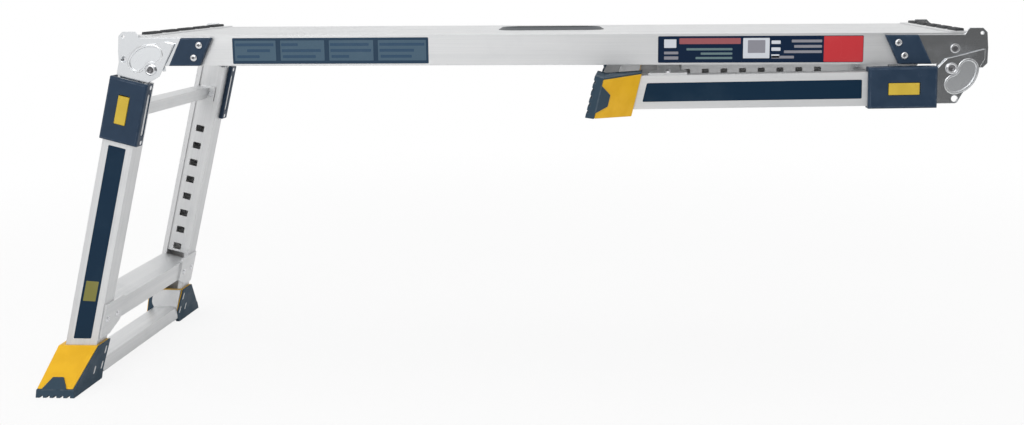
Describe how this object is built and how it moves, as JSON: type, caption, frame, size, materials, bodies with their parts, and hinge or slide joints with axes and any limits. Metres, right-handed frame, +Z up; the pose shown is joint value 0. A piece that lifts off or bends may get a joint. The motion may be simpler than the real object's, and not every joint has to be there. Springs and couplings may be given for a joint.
{
  "type": "folding work platform",
  "caption": "Low folding work platform: a ribbed aluminium deck with a hand slot on hinged, telescoping leg frames with push-lever locks and splayed feet.",
  "frame": {"origin": "floor level, under the middle of the platform's box in the pictured pose", "axes": "+X along the deck towards the folded leg frame, +Y across the deck away from the side that the picture shows, +Z up"},
  "size_m": [1.323, 0.518, 0.5145],
  "materials": {
    "aluminium": "mill, lightly satin",
    "hinge_steel": "zinc plated",
    "zinc_steel": "zinc plated",
    "navy_plastic": "moulded, fine grain",
    "yellow_plastic": "moulded, fine grain",
    "foot_rubber": "matt",
    "grip_rubber": "matt"
  },
  "bodies": {
    "deck": {"deck_plank": "aluminium", "slot_liner": "navy_plastic", "end_tread_left": "aluminium", "end_tread_right": "aluminium", "tread_grips": "grip_rubber", "deck_rivets": "zinc_steel", "pivot_pins": "zinc_steel", "lock_pin_springs": "zinc_steel", "deck_hinge_plate_front_left": "hinge_steel", "deck_hinge_plate_front_right": "hinge_steel", "deck_hinge_plate_rear_left": "hinge_steel", "deck_hinge_plate_rear_right": "hinge_steel", "hinge_cover_front_left": "navy_plastic", "hinge_cover_front_right": "navy_plastic", "hinge_cover_rear_left": "navy_plastic", "hinge_cover_rear_right": "navy_plastic"},
    "left_upper_frame": {"upper_crossbar_left": "aluminium", "upper_rivets_left": "zinc_steel", "leg_hinge_plate_front_left": "hinge_steel", "inner_tube_front_left": "aluminium", "leg_hinge_plate_rear_left": "hinge_steel", "inner_tube_rear_left": "aluminium"},
    "left_sliding_frame": {"lower_crossbar_left": "aluminium", "bottom_bar_left": "aluminium", "lower_fasteners_left": "zinc_steel", "lever_springs_left": "zinc_steel", "outer_rail_front_left": "aluminium", "collar_front_left": "navy_plastic", "foot_shell_front_left": "yellow_plastic", "foot_pad_front_left": "foot_rubber", "outer_rail_rear_left": "aluminium", "collar_rear_left": "navy_plastic", "foot_shell_rear_left": "yellow_plastic", "foot_pad_rear_left": "foot_rubber"},
    "lock_lever_front_left": {"lock_lever_front_left": "yellow_plastic"},
    "hinge_lock_pin_front_left": {"hinge_lock_pin_front_left": "zinc_steel"},
    "lock_lever_rear_left": {"lock_lever_rear_left": "yellow_plastic"},
    "hinge_lock_pin_rear_left": {"hinge_lock_pin_rear_left": "zinc_steel"},
    "right_upper_frame": {"upper_crossbar_right": "aluminium", "upper_rivets_right": "zinc_steel", "leg_hinge_plate_front_right": "hinge_steel", "inner_tube_front_right": "aluminium", "leg_hinge_plate_rear_right": "hinge_steel", "inner_tube_rear_right": "aluminium"},
    "right_sliding_frame": {"lower_crossbar_right": "aluminium", "bottom_bar_right": "aluminium", "lower_fasteners_right": "zinc_steel", "lever_springs_right": "zinc_steel", "outer_rail_front_right": "aluminium", "collar_front_right": "navy_plastic", "foot_shell_front_right": "yellow_plastic", "foot_pad_front_right": "foot_rubber", "outer_rail_rear_right": "aluminium", "collar_rear_right": "navy_plastic", "foot_shell_rear_right": "yellow_plastic", "foot_pad_rear_right": "foot_rubber"},
    "lock_lever_front_right": {"lock_lever_front_right": "yellow_plastic"},
    "hinge_lock_pin_front_right": {"hinge_lock_pin_front_right": "zinc_steel"},
    "lock_lever_rear_right": {"lock_lever_rear_right": "yellow_plastic"},
    "hinge_lock_pin_rear_right": {"hinge_lock_pin_rear_right": "zinc_steel"}
  },
  "joints": [
    {"name": "left_leg_fold", "type": "hinge", "parent": "deck", "child": "left_upper_frame", "pos_m": [-0.49, 0, 0.461], "axis": [0, -1, 0], "range_deg": [0, 103.45]},
    {"name": "left_leg_extend", "type": "slide", "parent": "left_upper_frame", "child": "left_sliding_frame", "axis": [-0.247, 0, -0.969], "range_m": [0, 0.24]},
    {"name": "front_left_lever_press", "type": "hinge", "parent": "left_sliding_frame", "child": "lock_lever_front_left", "pos_m": [-0.53409, -0.196, 0.39226], "axis": [-0.969, 0, 0.247], "range_deg": [0, 6.5], "stiffness_Nm_per_rad": 2, "springref_deg": -5.73, "deforming": ["lever_springs_left"]},
    {"name": "front_left_lock_pin_pull", "type": "slide", "parent": "deck", "child": "hinge_lock_pin_front_left", "axis": [0, 1, 0], "range_m": [0, 0.005], "stiffness_N_per_m": 1500, "springref_m": -0.003, "deforming": ["lock_pin_springs"]},
    {"name": "rear_left_lever_press", "type": "hinge", "parent": "left_sliding_frame", "child": "lock_lever_rear_left", "pos_m": [-0.53409, 0.196, 0.39226], "axis": [0.969, 0, -0.247], "range_deg": [0, 6.5], "stiffness_Nm_per_rad": 2, "springref_deg": -5.73, "deforming": ["lever_springs_left"]},
    {"name": "rear_left_lock_pin_pull", "type": "slide", "parent": "deck", "child": "hinge_lock_pin_rear_left", "axis": [0, -1, 0], "range_m": [0, 0.005], "stiffness_N_per_m": 1500, "springref_m": -0.003, "deforming": ["lock_pin_springs"]},
    {"name": "right_leg_fold", "type": "hinge", "parent": "deck", "child": "right_upper_frame", "pos_m": [0.613, 0, 0.461], "axis": [0, -1, 0], "range_deg": [0, 103.45]},
    {"name": "right_leg_extend", "type": "slide", "parent": "right_upper_frame", "child": "right_sliding_frame", "axis": [-0.9999, 0, -0.0148], "range_m": [0, 0.24]},
    {"name": "front_right_lever_press", "type": "hinge", "parent": "right_sliding_frame", "child": "lock_lever_front_right", "pos_m": [0.53589, -0.196, 0.4341], "axis": [-0.0148, 0, 0.9999], "range_deg": [0, 6.5], "stiffness_Nm_per_rad": 2, "springref_deg": -5.73, "deforming": ["lever_springs_right"]},
    {"name": "front_right_lock_pin_pull", "type": "slide", "parent": "deck", "child": "hinge_lock_pin_front_right", "axis": [0, 1, 0], "range_m": [0, 0.005], "stiffness_N_per_m": 1500, "springref_m": -0.003, "deforming": ["lock_pin_springs"]},
    {"name": "rear_right_lever_press", "type": "hinge", "parent": "right_sliding_frame", "child": "lock_lever_rear_right", "pos_m": [0.53589, 0.196, 0.4341], "axis": [0.0148, 0, -0.9999], "range_deg": [0, 6.5], "stiffness_Nm_per_rad": 2, "springref_deg": -5.73, "deforming": ["lever_springs_right"]},
    {"name": "rear_right_lock_pin_pull", "type": "slide", "parent": "deck", "child": "hinge_lock_pin_rear_right", "axis": [0, -1, 0], "range_m": [0, 0.005], "stiffness_N_per_m": 1500, "springref_m": -0.003, "deforming": ["lock_pin_springs"]}
  ]
}
